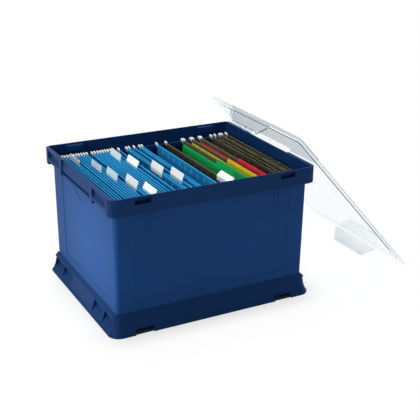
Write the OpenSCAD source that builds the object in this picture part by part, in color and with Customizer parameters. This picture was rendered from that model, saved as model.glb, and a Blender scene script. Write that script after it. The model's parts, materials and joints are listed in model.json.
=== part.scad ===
// Portable file box: a moulded tub with a ribbed rim band and a flared base,
// a clear lid with two latch flaps that leans on the tub's right rim, and
// hanging files on rods along the tub's two rails.
// Frame: +X runs along the long front side towards the lid, -Y is the front,
// +Z is up, and the origin is the middle of the footprint on the floor.
// All sizes are in millimetres.

/* [Tub] */
// Length of the rim band, left to right
rim_length = 450; // [425:1:480]
// How far the rim band stands out past the wall
rim_overhang = 12; // [10:0.1:14]
// How far the rim band reaches down past the rails' shelf
band_lap = 0.5; // [0:0.5:6]
// Thickness of the rim band's outer skin
band_skin = 2.5; // [2:0.1:3]
// Outer corner radius of the rim band
band_corner = 15; // [13:1:20]
// Thickness of the tub's wall
wall_thickness = 3; // [2.5:0.1:4]
// Outer corner radius of the wall at the rim
wall_corner = 9; // [8:0.5:14]
// How far the wall leans inwards from the rim to the floor
wall_draft = 2.8; // [1.5:0.1:3.5]
// Underside of the bottom plate above the floor
bottom_height = 12; // [10:0.5:15]
// Thickness of the bottom plate
bottom_thickness = 3; // [2.5:0.1:4]
// Height of the slot pocket in the rim band
slot_height = 10; // [7:0.5:12]
// Length of the slot pocket in the rim band
slot_length = 34; // [24:1:40]
// Depth of the slot pocket in the rim band
slot_depth = 9; // [6:0.5:9.5]

/* [Base moulding] */
// Height at which the base moulding meets the wall
skirt_top = 44; // [40:0.5:50]
// Height of the ridge along the base moulding
ridge_height = 34.5; // [30:0.5:37]
// How far the ridge stands out from the wall's foot
ridge_out = 8; // [6:0.1:9]
// Thickness of the base moulding
skirt_thickness = 2.4; // [2:0.1:3]
// Width of the foot ring that stands on the floor
foot_width = 2.6; // [2:0.1:4]
// Length of the finger notch in the base
notch_length = 40; // [30:1:50]
// Height of the finger notch in the base
notch_height = 11; // [8:0.5:11.5]

/* [Rails] */
// Height of the rail's lip above its shelf
lip_height = 8; // [7:0.5:9]
// Thickness of the rail's lip
lip_thickness = 3; // [2:0.1:3.5]
// Width from the lip's inner face to the rim's outer face
shelf_width = 28.8; // [26:0.1:33]
// Height of the rim above the rail's lip
rim_above_lip = 23.5; // [21:0.5:30]

/* [Lid] */
// Height of the lid's edge
lid_height = 7; // [6:0.5:10]
// Thickness of the lid's skirt and panel
lid_thickness = 2; // [1.6:0.1:2.5]
// Width of the lid's raised border
border_width = 18; // [14:1:26]
// How far the lid leans from flat, in degrees
lid_lean = 48; // [44:1:54]
// How far the leaning lid stands forward of the tub's middle
lid_forward = 24; // [10:1:30]
// Length of a latch flap
flap_length = 31.4; // [30.6:0.1:34]
// Width of a latch flap at its hinge
flap_root_width = 150; // [130:1:156]
// Width of a latch flap at its tip
flap_tip_width = 106; // [102:1:120]
// Depth of the rib that hooks under the rim
hook_depth = 3; // [2:0.1:3.2]

/* [Hanging files] */
// Width of a folder across its card
file_width = 298; // [290:1:306]
// Height of a folder from its fold to its top edge
file_height = 240; // [200:1:260]
// Free height between the bottom plate and the folders
space_below = 9.5; // [8:0.5:30]
// Thickness of the folder card
card = 0.8; // [0.5:0.1:1]
// Thickness of the hem that holds a rod
hem_thickness = 2; // [1.9:0.1:2.2]
// Thickness of a rod
rod_thickness = 1; // [0.8:0.1:1.1]
// Height of a rod
rod_height = 5; // [4:0.1:5.4]
// Thickness of a rod's end hook
hook_thickness = 2.2; // [1.6:0.1:2.6]
// Gap between the two rods of a closed folder, middle to middle
closed_spread = 6; // [5.6:0.1:6]
// Distance from one card slot to the next
slot_pitch = 28; // [27.5:0.5:29]
// Width of a label tab
tab_width = 55; // [44:1:55]
// Height of a label tab's leaning face
tab_height = 13; // [10:0.5:15]
// Thickness of a label tab
tab_thickness = 0.6; // [0.5:0.1:0.8]
// Width of an inner folder
inner_width = 290; // [270:1:292]
// Thickness of an inner folder's card
inner_card = 0.5; // [0.4:0.1:0.6]

/* [Hidden] */
$fn = 48;
// Named clearances
seat_gap = 0.3;      // between a piece and what carries it
stack_gap = 0.4;     // between the foot ring and a lid below it
file_end_gap = 4.2;  // between a folder's side edge and the rail's lip
overlap = 0.5;       // how deep joined shapes run into each other
past = 1;            // how far a cut runs past the face it opens

// Files: [place of the first rod, spread of the two rods], both in steps
// along the rail. A spread of 0 is a closed file.
blue_files = [
    [-198, 0], [-186, 0], [-172, 0], [-160, 0], [-148, 0],
    [-130, 0], [-117.5, 0], [-105.5, 0], [-93.5, 0], [-80, 12],
    [-49, 0], [-31, 13], [-12, 36]];
olive_files = [[47, 41], [92.5, 17.5], [114.5, 17], [136, 26], [172.5, 12], [190, 12]];
// Label tabs on the blue files: [file, column, lean in degrees]
blue_tabs = [
    [1, 2, 2], [3, 1, 3], [4, 0, 11], [5, -1, 19], [6, -2, 27],
    [8, 2, 11], [9, 1, 27], [10, 0, 19], [11, -1, 19]];
// The label tab on the first olive file
olive_tab = [0, -2, 50];
// Inner folders: [olive file, share of the width where the raised tab ends]
inner_folders = [[0, -0.06], [1, -0.11], [2, -0.15]];
inner_names = ["green_inner_folder", "yellow_inner_folder", "red_inner_folder"];

// Heights, from the floor up
file_above_lip = 2;
shelf_thickness = 2.5;
floor_top = bottom_height + bottom_thickness;
fold_z = floor_top + space_below;
file_top = fold_z + file_height;
lip_top = file_top - file_above_lip;
shelf_top = lip_top - lip_height;
shelf_under = shelf_top - shelf_thickness;
tub_height = lip_top + rim_above_lip;
band_under = shelf_under - band_lap;
band_height = tub_height - band_under;

// Plan sizes
lip_face = file_width / 2 + file_end_gap;
rim_width = 2 * (lip_face + shelf_width);
half_x = rim_length / 2;
half_y = rim_width / 2;
wall_cx = half_x - rim_overhang - wall_corner;
wall_cy = half_y - rim_overhang - wall_corner;
wall_foot = wall_corner - wall_draft;
foot_out = wall_foot + rim_overhang + wall_draft + stack_gap + foot_width;

// Outer wall, measured outwards from the corner centre, at height z
function wall_at(z) = wall_foot + wall_draft * z / tub_height;
function wall_x(z) = wall_cx + wall_at(z);
function wall_y(z) = wall_cy + wall_at(z);

// Rim ends: the set-back wall, its flange, the latch bay and its side gap,
// the posts beside the bay and at the corners, and the shelf in the pockets
end_wall_out = half_x - 6;
end_wall_in = end_wall_out - 2.5;
flange_thickness = 3;
bay_gap = 4;
latch_half = flap_root_width / 2 + bay_gap;
post_width = 14;
pocket_in = latch_half + post_width;
pocket_out = half_y - 22;
pocket_shelf = [15, 20, 23, 28];
core_start = pocket_out + 3;
core_end = half_y - 7;
catch_height = 7;
catch_top = tub_height - 22;
catch_under = catch_top - catch_height;
catch_back = half_x - 5.8;
catch_edge = half_x - 2.4;
bay_face = half_x - 5;
bay_straight = 3.5;
bar_face = half_x - 2.5;

// Finger well in the end wall
well_radius = 62;
well_depth = 1.4;
well_drop = 30;

// Rim long sides: slots and ribs, measured in from the rim's ends
slot_inset = 66.5;
slot_drop = 10.2;
slot_wall = 1.5;
frame_width = 1.2;
frame_proud = 0.6;
rib_proud = 0.8;
slant_inset = 101.5;
slant_run = 8;
slant_width = 4;
mid_rib_x = 42;
rib_width = 2.5;
corner_rib_inset = 20;
corner_rib_start = 28;
corner_rib_turn = 27;

// Wall panels and the ribs under the rim
panel_depth = 0.8;
panel_inset_x = 53;
panel_inset_y = 68;
panel_low = 60;
panel_top_gap = 1.5;
wall_rib_top = [94, 85];
wall_rib_run = 9;
wall_rib_drop = 46;
wall_rib_width = 1.6;

// Base moulding: the ridge's nose and the step in under it, then the flare,
// given by its start, the knee near the floor and the upright foot
ridge_nose = 2;
ridge_under = 1.5;
ridge_step = 2.2;
channel_top = ridge_height - 2.5;
flare_start = 18;
flare_out = 1;
knee_height = 6;
knee_in = 3.5;
foot_height = 3;
inner_step = 0.5;

// Cells in the base's ends, the gussets beside them and the notches
cell_low = 5.2;
gusset = 3;
cell_starts = [62, 117];
cell_ends = [cell_starts[1] - gusset, half_y - 17];
cell_floor_high = 22;
cell_floor_in = [4.5, 2.5];
notch_inset = 66.5;
notch_behind = 2;
notch_frame = 1.8;
notch_proud = 1;
skirt_rib_x = 97;
skirt_rib_width = 2;

// Files: steps along the rail, counted from the middle of the row
rail_steps = 207;
rail_end_gap = 2.5;
row_shift = 1.8;
step_length = (wall_x(shelf_top) - wall_thickness - rail_end_gap) / rail_steps;
function along(step) = row_shift + step * step_length;
function spread(file) = file[1] == 0 ? closed_spread : file[1] * step_length;

// Hem with its rod, and the card slots under it
hem_height = rod_height + 1.5;
hem_under = file_top - hem_height;
hem_wall = 0.35;
rod_gap = 0.3;
pocket_height = rod_height + 2 * rod_gap;
rod_under = file_top - hem_wall - rod_gap - rod_height;
slot_top = hem_under - 1;
card_slot_height = 8;
card_slot_width = 1.6;
slot_count = 10;
slot_row_middle = -4;
function column_y(column) = slot_row_middle + column * 2 * slot_pitch;

// Fold of a closed file and of one that stands open
fold_width = 2.4;
open_fold_width = 5;
open_from = 14;

// End hook of a rod
hook_reach = 12;
hook_end = file_width / 2 + hook_reach;
hook_gap = 0.4;
hook_head = 4.2;
hook_ease = 1;
hook_slope = 2;
hook_leg_gap = 4;

// Label tab: its foot, its two tongues and where it bends
tab_foot = 2.5;
tab_bend = 0.6;
tongue_width = 1;
tongue_height = 1.8;

// Inner folder: the gap between its leaves and the steps of their tops
leaf_gap = 0.6;
leaf_play = 0.4;
leaf_drop = 6;
front_leaf_drop = 3;
raised_tab = 12;

// Lid at rest: its lower flap stands on the floor and its skirt leans on
// the rim's outer top edge. The lid's middle is worked out from both.
lid_z = half_x * sin(lid_lean) + flap_length * cos(lid_lean) + seat_gap;
lid_x = half_x + (seat_gap - cos(lid_lean) * (lid_z - tub_height)) / sin(lid_lean);
pin_radius = lid_thickness / 2;
pin_z = -seat_gap - pin_radius;

// Lid: the corner of its set-down panel, how high the panel lies and the
// low rib that frames its middle
step_corner = 6;
panel_rise = 1;
frame_inset = [92, 120];
frame_rib = 2;
frame_rise = 1;
frame_corner = 6;

// Rib of a latch flap, which hooks under the rim's bar, and its recesses
rib_low = -28;
rib_high = -22.5;
rib_ease = [0.5, 2.5];
hook_rib_width = flap_tip_width - 10;
recess_start = 6;
recess_skin = 1;
recess_height = [-1.6, -4];
tip_notch = 2;

blue_count = len(blue_files);
olive_count = len(olive_files);
function two(n) = n < 10 ? str("0", n) : str(n);

// ---- Helpers ----

// The children and their copy across the X = 0 plane
module both_ends() {
    children();
    mirror([1, 0, 0]) children();
}

// The children and their copy across the Y = 0 plane
module both_sides() {
    children();
    mirror([0, 1, 0]) children();
}

// A rectangle with round corners, centred
module round_rect(length, width, radius) {
    square([length - 2 * radius, width], center = true);
    square([length, width - 2 * radius], center = true);
    for (x = [-1, 1], y = [-1, 1])
        translate([x * (length / 2 - radius), y * (width / 2 - radius)]) circle(r = radius);
}

// A 2-D section, drawn as (outwards from the corner centre, height), carried
// round the rectangle of corner centres: straight sides and quarter turns
module ring(cx, cy) {
    both_sides() translate([-cx, 0, 0]) rotate([90, 0, 90])
        linear_extrude(2 * cx) translate([cy, 0]) children();
    both_ends() rotate([90, 0, 0])
        linear_extrude(2 * cy, center = true) translate([cx, 0]) children();
    both_ends() both_sides() translate([cx, cy, 0])
        rotate_extrude(angle = 90) children();
}

// A section drawn as (X, Z), carried along Y from y0 to y1
module along_y(y0, y1) {
    translate([0, y1, 0]) rotate([90, 0, 0]) linear_extrude(y1 - y0) children();
}

// A section drawn as (Y, Z), carried along X from x0 to x1
module along_x(x0, x1) {
    translate([x0, 0, 0]) rotate([90, 0, 90]) linear_extrude(x1 - x0) children();
}

// A box between two corners
module block(low, high) {
    translate(low) cube(high - low);
}

// ---- Tub ----

// Outside of the base moulding, from the wall down to the floor: a slope to
// the ridge, a step in under it and a flare out to the foot
function skirt_outside(proud = 0) = [
    [wall_at(skirt_top) + proud, skirt_top],
    [wall_foot + ridge_out + proud, ridge_height + ridge_nose],
    [wall_foot + ridge_out + proud, ridge_height],
    [wall_foot + ridge_out - ridge_step + proud, ridge_height - ridge_under],
    [wall_foot + ridge_out + flare_out + proud, flare_start],
    [foot_out - knee_in + proud, knee_height],
    [foot_out + proud, foot_height],
    [foot_out + proud, 0]];

// Inside of the base moulding, from the floor up to the channel's top
function skirt_inside() = [
    [foot_out - foot_width, 0],
    [foot_out - foot_width, foot_height - 2 * inner_step],
    [foot_out - knee_in - skirt_thickness, knee_height - 2 * inner_step],
    [wall_foot + ridge_out + flare_out - skirt_thickness, flare_start - inner_step],
    [wall_foot + ridge_out - ridge_step - skirt_thickness, channel_top],
    [wall_at(channel_top), channel_top]];

// Wall and base moulding in one section
module wall_section() {
    polygon(concat(
        [[wall_at(shelf_top) - wall_thickness, shelf_top], [wall_at(shelf_top), shelf_top]],
        skirt_outside(),
        skirt_inside(),
        [[wall_at(bottom_height), bottom_height],
         [wall_at(bottom_height) - wall_thickness, bottom_height]]));
}

// Space between the wall and the base moulding's outer face, filled
module skirt_fill(proud = 0) {
    polygon(concat(
        skirt_outside(proud),
        [[wall_at(skirt_top) - overlap, 0], [wall_at(skirt_top) - overlap, skirt_top]]));
}

// The rim band: outer skin and the shelf that joins it to the wall
module rim_band() {
    translate([0, 0, band_under]) linear_extrude(band_height) difference() {
        round_rect(rim_length, rim_width, band_corner);
        round_rect(rim_length - 2 * band_skin, rim_width - 2 * band_skin, band_corner - band_skin);
    }
    translate([0, 0, shelf_under]) linear_extrude(shelf_thickness) difference() {
        round_rect(rim_length - band_skin, rim_width - band_skin, band_corner - band_skin / 2);
        round_rect(
            2 * wall_x(shelf_top) - wall_thickness,
            2 * wall_y(shelf_top) - wall_thickness,
            wall_corner - wall_thickness / 2);
    }
}

// One end of the rim as a solid block, before its pockets are cut
module end_block() {
    translate([0, 0, band_under]) linear_extrude(band_height) intersection() {
        round_rect(rim_length, rim_width, band_corner);
        translate([end_wall_in, -half_y]) square([half_x - end_wall_in, rim_width]);
    }
}

// The pair of pockets between the latch bay and one corner: the slanted
// shelf between them carries on from the catch. The corner post is hollow.
module end_pockets() {
    along_y(pocket_in, pocket_out) polygon([
        [end_wall_out, tub_height - flange_thickness], [half_x + past, tub_height - flange_thickness],
        [half_x + past, tub_height - pocket_shelf[2]], [end_wall_out, tub_height - pocket_shelf[0]]]);
    along_y(pocket_in, pocket_out) polygon([
        [end_wall_out, band_under - past], [half_x + past, band_under - past],
        [half_x + past, tub_height - pocket_shelf[3]], [end_wall_out, tub_height - pocket_shelf[1]]]);
    block([end_wall_out, core_start, band_under - past],
          [half_x - band_skin, core_end, tub_height - flange_thickness]);
}

// The latch bay: a slanted face that guides the flap, the catch slot below
// it and the bar that the flap hooks under
module latch_bay() {
    along_y(-latch_half, latch_half) polygon([
        [bay_face, tub_height + past], [half_x + past, tub_height + past],
        [half_x + past, band_under - past], [bar_face, band_under - past],
        [bar_face, catch_under], [catch_back, catch_under],
        [catch_back, catch_top], [catch_edge, catch_top],
        [bay_face, tub_height - bay_straight]]);
}

// Shallow finger well in the end wall, under the latch bay
module finger_well() {
    intersection() {
        translate([wall_x(band_under - well_drop) - well_depth, 0, band_under - well_drop + well_radius])
            rotate([0, 90, 0]) cylinder(r = well_radius, h = rim_overhang, $fn = 96);
        block([0, -half_y, 0], [half_x, half_y, band_under]);
    }
}

// A box round the slot in the front of the rim band, grown by a border all
// round and reaching from one depth to another
module round_slot(border, low_y, high_y) {
    middle_x = half_x - slot_inset;
    middle_z = tub_height - slot_drop;
    reach_x = slot_length / 2 + border;
    reach_z = slot_height / 2 + border;
    block([middle_x - reach_x, low_y, middle_z - reach_z], [middle_x + reach_x, high_y, middle_z + reach_z]);
}

// The slot pocket that is cut in, and the raised frame and the box behind it
module rim_slot() {
    round_slot(0, half_y - slot_depth, half_y + past);
}

module rim_slot_frame() {
    round_slot(frame_width, half_y - overlap, half_y + frame_proud);
    round_slot(slot_wall, half_y - slot_depth - slot_wall, half_y - overlap);
}

// Ribs on the front of the rim band: one upright, one slanted, one beside
// the corner and a strip round the corner itself
module rim_ribs() {
    block([mid_rib_x - rib_width / 2, half_y - overlap, band_under],
          [mid_rib_x + rib_width / 2, half_y + rib_proud, tub_height]);
    block([half_x - corner_rib_inset - rib_width, half_y - overlap, band_under],
          [half_x - corner_rib_inset, half_y + rib_proud, tub_height]);
    mirror([0, 1, 0]) along_y(-half_y - rib_proud, -half_y + overlap) polygon([
        [half_x - slant_inset - slant_width / 2, tub_height],
        [half_x - slant_inset + slant_width / 2, tub_height],
        [half_x - slant_inset + slant_width / 2 + slant_run, band_under],
        [half_x - slant_inset - slant_width / 2 + slant_run, band_under]]);
    translate([half_x - band_corner, half_y - band_corner, band_under])
        rotate(corner_rib_start) rotate_extrude(angle = corner_rib_turn)
            translate([band_corner - overlap, 0]) square([overlap + rib_proud, band_height]);
}

// Pair of thin slanted ribs on the wall, just under the rim
module wall_ribs() {
    top_z = band_under;
    low_z = band_under - wall_rib_drop;
    for (inset = wall_rib_top)
        mirror([0, 1, 0]) along_y(-wall_y(top_z), -wall_y(low_z) + panel_depth + overlap) polygon([
            [half_x - inset, top_z + overlap],
            [half_x - inset + wall_rib_width, top_z + overlap],
            [half_x - inset + wall_rib_width + wall_rib_run, low_z],
            [half_x - inset + wall_rib_run, low_z]]);
}

// Shallow panels in the front and end walls, which leave the corners proud
module wall_panels() {
    top_z = band_under - panel_top_gap;
    both_sides() along_x(-half_x + panel_inset_x, half_x - panel_inset_x) polygon([
        [wall_y(panel_low) - panel_depth, panel_low], [wall_y(panel_low) + past, panel_low],
        [wall_y(top_z) + past, top_z], [wall_y(top_z) - panel_depth, top_z]]);
    both_ends() along_y(-half_y + panel_inset_y, half_y - panel_inset_y) polygon([
        [wall_x(panel_low) - panel_depth, panel_low], [wall_x(panel_low) + past, panel_low],
        [wall_x(top_z) + past, top_z], [wall_x(top_z) - panel_depth, top_z]]);
}

// One rail: the shelf inside the wall and the upright lip that the rods
// hook over
module rail() {
    end_x = wall_x(shelf_top) - wall_thickness + overlap;
    block([-end_x, lip_face, shelf_under], [end_x, wall_y(shelf_top) - wall_thickness / 2, shelf_top]);
    block([-end_x, lip_face, shelf_under], [end_x, lip_face + lip_thickness, lip_top]);
}

// Recessed cells in one end of the base moulding
module base_cells() {
    for (i = [0, 1])
        along_y(cell_starts[i], cell_ends[i]) polygon([
            [wall_x(cell_low), cell_low], [wall_cx + foot_out + past, cell_low],
            [wall_cx + foot_out + past, ridge_height - ridge_under],
            [wall_x(ridge_height), ridge_height - ridge_under]]);
}

// Gussets beside the cells and the sloped floor inside them
module base_gussets() {
    for (y = [cell_starts[0] - gusset, cell_ends[0], cell_ends[1]])
        along_y(y, y + gusset) translate([wall_cx, 0]) skirt_fill();
    along_y(cell_starts[0] - overlap, cell_ends[1] + overlap) polygon([
        [wall_x(cell_floor_high) - overlap, cell_floor_high],
        [wall_x(cell_floor_high) - overlap, cell_floor_high - skirt_thickness],
        [wall_cx + foot_out - cell_floor_in[0], cell_low - overlap],
        [wall_cx + foot_out - cell_floor_in[1], cell_low]]);
}

// Finger notch in the front of the base moulding
module base_notch() {
    x0 = half_x - notch_inset - notch_length / 2;
    block([x0, wall_y(0) + notch_behind, -past],
          [x0 + notch_length, wall_cy + foot_out + 2 * past, notch_height]);
}

// Proud lines on the front of the base moulding: the notch's frame and an
// upright rib
module base_lines() {
    x0 = half_x - notch_inset - notch_length / 2;
    outside = wall_cy + foot_out + past;
    intersection() {
        along_x(0, half_x) translate([wall_cy, 0]) skirt_fill(notch_proud);
        union() {
            block([x0 - notch_frame, wall_y(0), 0],
                  [x0 + notch_length + notch_frame, outside, notch_height + notch_frame]);
            block([skirt_rib_x, wall_y(0), 0], [skirt_rib_x + skirt_rib_width, outside, ridge_height]);
        }
    }
}

module tub_solid() {
    difference() {
        union() {
            difference() {
                ring(wall_cx, wall_cy) wall_section();
                wall_panels();
                both_ends() finger_well();
                both_ends() both_sides() base_cells();
            }
            rim_band();
            both_ends() end_block();
            both_ends() both_sides() {
                base_gussets();
                base_lines();
                rim_ribs();
                rim_slot_frame();
                wall_ribs();
            }
            translate([0, 0, bottom_height]) linear_extrude(bottom_thickness)
                round_rect(
                    2 * wall_x(bottom_height) - wall_thickness,
                    2 * wall_y(bottom_height) - wall_thickness,
                    wall_foot - wall_thickness / 2);
            both_sides() rail();
        }
        both_ends() latch_bay();
        both_ends() both_sides() {
            end_pockets();
            rim_slot();
            base_notch();
        }
    }
}

module tub() {
    color("midnightblue") tub_solid();
}

// ---- Lid and latch flaps ----

// A flat ring with round corners, from the lid's outline drawn in by in_from
// to the same drawn in by in_to, both as [along X, along Y]
module lid_ring(in_from, in_to, outer_corner, inner_corner) {
    difference() {
        round_rect(rim_length - 2 * in_from[0], rim_width - 2 * in_from[1], outer_corner);
        round_rect(rim_length - 2 * in_to[0], rim_width - 2 * in_to[1], inner_corner);
    }
}

// The lid in its own frame: the skirt stands on z = 0, the panel is set low
module lid_shape() {
    skirt = [lid_thickness, lid_thickness];
    step = [border_width, border_width];
    linear_extrude(lid_height)
        lid_ring([0, 0], skirt, band_corner, band_corner - lid_thickness);
    translate([0, 0, lid_height - lid_thickness]) linear_extrude(lid_thickness)
        lid_ring(skirt / 2, step, band_corner - lid_thickness / 2, step_corner);
    translate([0, 0, panel_rise]) linear_extrude(lid_height - panel_rise)
        lid_ring(step - skirt, step, step_corner + lid_thickness, step_corner);
    translate([0, 0, panel_rise]) linear_extrude(lid_thickness)
        round_rect(
            rim_length - 2 * border_width + lid_thickness,
            rim_width - 2 * border_width + lid_thickness,
            step_corner + lid_thickness / 2);
    translate([0, 0, panel_rise]) linear_extrude(lid_thickness + frame_rise)
        lid_ring(
            frame_inset, frame_inset + [frame_rib, frame_rib],
            frame_corner, frame_corner - frame_rib);
}

// A latch flap in the lid's frame, at the +X end: a round root at the
// hinge, a plate that narrows to its tip and the rib that hooks inside
module flap_shape() {
    inner_x = half_x - lid_thickness;
    tip_z = -flap_length;
    difference() {
        union() {
            translate([half_x - pin_radius, 0, pin_z]) rotate([90, 0, 0])
                cylinder(r = pin_radius, h = flap_root_width, center = true);
            along_x(inner_x, half_x) polygon([
                [-flap_root_width / 2, pin_z], [flap_root_width / 2, pin_z],
                [flap_tip_width / 2, tip_z], [-flap_tip_width / 2, tip_z]]);
            along_y(-hook_rib_width / 2, hook_rib_width / 2) polygon([
                [inner_x + overlap, rib_high], [inner_x - hook_depth, rib_high - rib_ease[0]],
                [inner_x - hook_depth, rib_low + rib_ease[1]], [inner_x + overlap, rib_low]]);
        }
        both_sides() block(
            [inner_x - hook_depth - past, recess_start, rib_high + recess_height[1]],
            [inner_x - recess_skin, hook_rib_width / 2 - recess_start, rib_high + recess_height[0]]);
        translate([half_x, 0, tip_z]) rotate([0, 90, 0])
            cylinder(r = tip_notch, h = 4 * lid_thickness, center = true, $fn = 24);
    }
}

// The children, carried from the lid's frame to where the lid leans
module leaning() {
    translate([lid_x, -lid_forward, lid_z]) rotate([0, lid_lean, 0]) children();
}

module lid() {
    color("lightcyan", 0.5) leaning() lid_shape();
}

module upper_latch_flap() {
    color("lightcyan", 0.6) leaning() mirror([1, 0, 0]) flap_shape();
}

module lower_latch_flap() {
    color("gainsboro") leaning() flap_shape();
}

// ---- Hanging files ----

// Folder card in section, hung from its first rod at x = 0: two hems with
// rod pockets and two sides that meet at the fold
module card_section(width, fold) {
    middle = width / 2;
    polygon([
        [-card / 2, hem_under], [middle - fold / 2, fold_z],
        [middle + fold / 2, fold_z], [width + card / 2, hem_under],
        [width + card / 2, hem_under + overlap], [width - card / 2, hem_under + overlap],
        [width - card / 2, hem_under], [middle + fold / 2 - card, fold_z + card],
        [middle - fold / 2 + card, fold_z + card], [card / 2, hem_under],
        [card / 2, hem_under + overlap], [-card / 2, hem_under + overlap]]);
    for (x = [0, width]) translate([x - hem_thickness / 2, hem_under]) difference() {
        square([hem_thickness, hem_height]);
        translate([hem_wall, hem_height - hem_wall - pocket_height])
            square([hem_thickness - 2 * hem_wall, pocket_height]);
    }
}

// A folder's card, with the row of slots that its label tab plugs into
module folder_card(width, fold) {
    difference() {
        along_y(-file_width / 2, file_width / 2) card_section(width, fold);
        for (i = [0:slot_count - 1]) {
            y = slot_row_middle + (i - (slot_count - 1) / 2) * slot_pitch;
            block([-past, y - card_slot_width / 2, slot_top - card_slot_height],
                  [width + past, y + card_slot_width / 2, slot_top]);
        }
    }
}

// One rod: a flat strip with a notched hook at each end that sits over the
// rail's lip
module rod() {
    start = file_width / 2 + seat_gap;
    rod_top = rod_under + rod_height;
    notch_in = lip_face - hook_gap;
    notch_out = lip_face + lip_thickness + hook_gap;
    notch_top = lip_top + seat_gap;
    head_top = notch_top + hook_head;
    leg_under = shelf_top + hook_leg_gap;
    block([-rod_thickness / 2, -start, rod_under], [rod_thickness / 2, start, rod_top]);
    both_sides() along_x(-hook_thickness / 2, hook_thickness / 2) polygon([
        [start, rod_under - overlap], [start, rod_top], [start + hook_slope, head_top],
        [hook_end - hook_ease, head_top], [hook_end, head_top - hook_ease], [hook_end, leg_under],
        [notch_out, leg_under], [notch_out, notch_top], [notch_in, notch_top], [notch_in, leg_under]]);
}

module rod_pair(width) {
    for (x = [0, width]) translate([x, 0, 0]) rod();
}

// A label tab: a foot that lies against the first hem, two tongues in the
// card's slots and a face that leans over the folder
module label_tab(column, lean) {
    face = -hem_thickness / 2 - seat_gap;
    foot_under = slot_top - tab_foot;
    bend = file_top + tab_bend;
    along_face = tab_height * [sin(lean), cos(lean)];
    across_face = tab_thickness * [-cos(lean), sin(lean)];
    translate([0, column_y(column), 0]) {
        along_y(-tab_width / 2, tab_width / 2) polygon([
            [face, foot_under], [face, bend], [face, bend] + along_face,
            [face, bend] + along_face + across_face,
            [face - tab_thickness, bend + tab_thickness * tan(lean / 2)],
            [face - tab_thickness, foot_under]]);
        for (side = [-1, 1]) translate([0, side * slot_pitch / 2, 0]) block(
            [face - tab_thickness / 2, -tongue_width / 2, foot_under],
            [card, tongue_width / 2, foot_under + tongue_height]);
    }
}

// An inner folder inside a file: two leaves joined at the fold, leaning
// along the file's second side, the back leaf with a raised tab
module inner_folder(width, fold, tab_share) {
    low = fold_z + card + seat_gap;
    low_x = (width + fold) / 2 - card - leaf_play;
    high_x = width - hem_thickness / 2 - leaf_gap;
    lean = (high_x - low_x) / (hem_under - low);
    back_top = file_top - leaf_drop;
    front_top = back_top - front_leaf_drop;
    function face_x(z) = low_x + lean * (z - low);
    along_y(-inner_width / 2, inner_width / 2) polygon([
        [low_x, low], [face_x(back_top), back_top],
        [face_x(back_top) - inner_card, back_top],
        [face_x(low + inner_card) - inner_card, low + inner_card],
        [face_x(low + inner_card) - inner_card - leaf_gap, low + inner_card],
        [face_x(front_top) - inner_card - leaf_gap, front_top],
        [face_x(front_top) - 2 * inner_card - leaf_gap, front_top],
        [low_x - 2 * inner_card - leaf_gap, low]]);
    along_y(-inner_width / 2, tab_share * inner_width / 2) polygon([
        [face_x(back_top - overlap), back_top - overlap],
        [face_x(back_top + raised_tab), back_top + raised_tab],
        [face_x(back_top + raised_tab) - inner_card, back_top + raised_tab],
        [face_x(back_top - overlap) - inner_card, back_top - overlap]]);
}

function fold_of(file) = spread(file) > open_from ? open_fold_width : fold_width;

module folder(file) {
    translate([along(file[0]), 0, 0]) folder_card(spread(file), fold_of(file));
}

module rods(file) {
    translate([along(file[0]), 0, 0]) rod_pair(spread(file));
}

module tab_on(file, tab) {
    translate([along(file[0]), 0, 0]) label_tab(tab[1], tab[2]);
}

inner_colours = ["limegreen", "gold", "crimson"];

tub();
lid();
upper_latch_flap();
lower_latch_flap();
for (i = [0:blue_count - 1]) {
    color("dodgerblue") folder(blue_files[i]);
    color("white") rods(blue_files[i]);
}
for (i = [0:olive_count - 1]) {
    color("darkolivegreen") folder(olive_files[i]);
    color("white") rods(olive_files[i]);
}
for (i = [0:len(blue_tabs) - 1])
    color("whitesmoke") tab_on(blue_files[blue_tabs[i][0]], blue_tabs[i]);
color("whitesmoke") tab_on(olive_files[olive_tab[0]], olive_tab);
for (i = [0:len(inner_folders) - 1])
    color(inner_colours[i]) translate([along(olive_files[inner_folders[i][0]][0]), 0, 0])
            inner_folder(
                spread(olive_files[inner_folders[i][0]]),
                fold_of(olive_files[inner_folders[i][0]]),
                inner_folders[i][1]);
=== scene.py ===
"""A portable file box: a ribbed navy tub on a flared base, hanging files on its rails, and a
clear lid that leans on the rim. Lengths are metres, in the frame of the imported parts: +X runs
along the long front side towards the lid, -Y is the front and +Z is up."""
import json
import math

import bmesh
import bpy
import numpy as np
from bpy.props import FloatProperty, FloatVectorProperty, IntProperty, PointerProperty
from mathutils import Matrix, Vector


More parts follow.
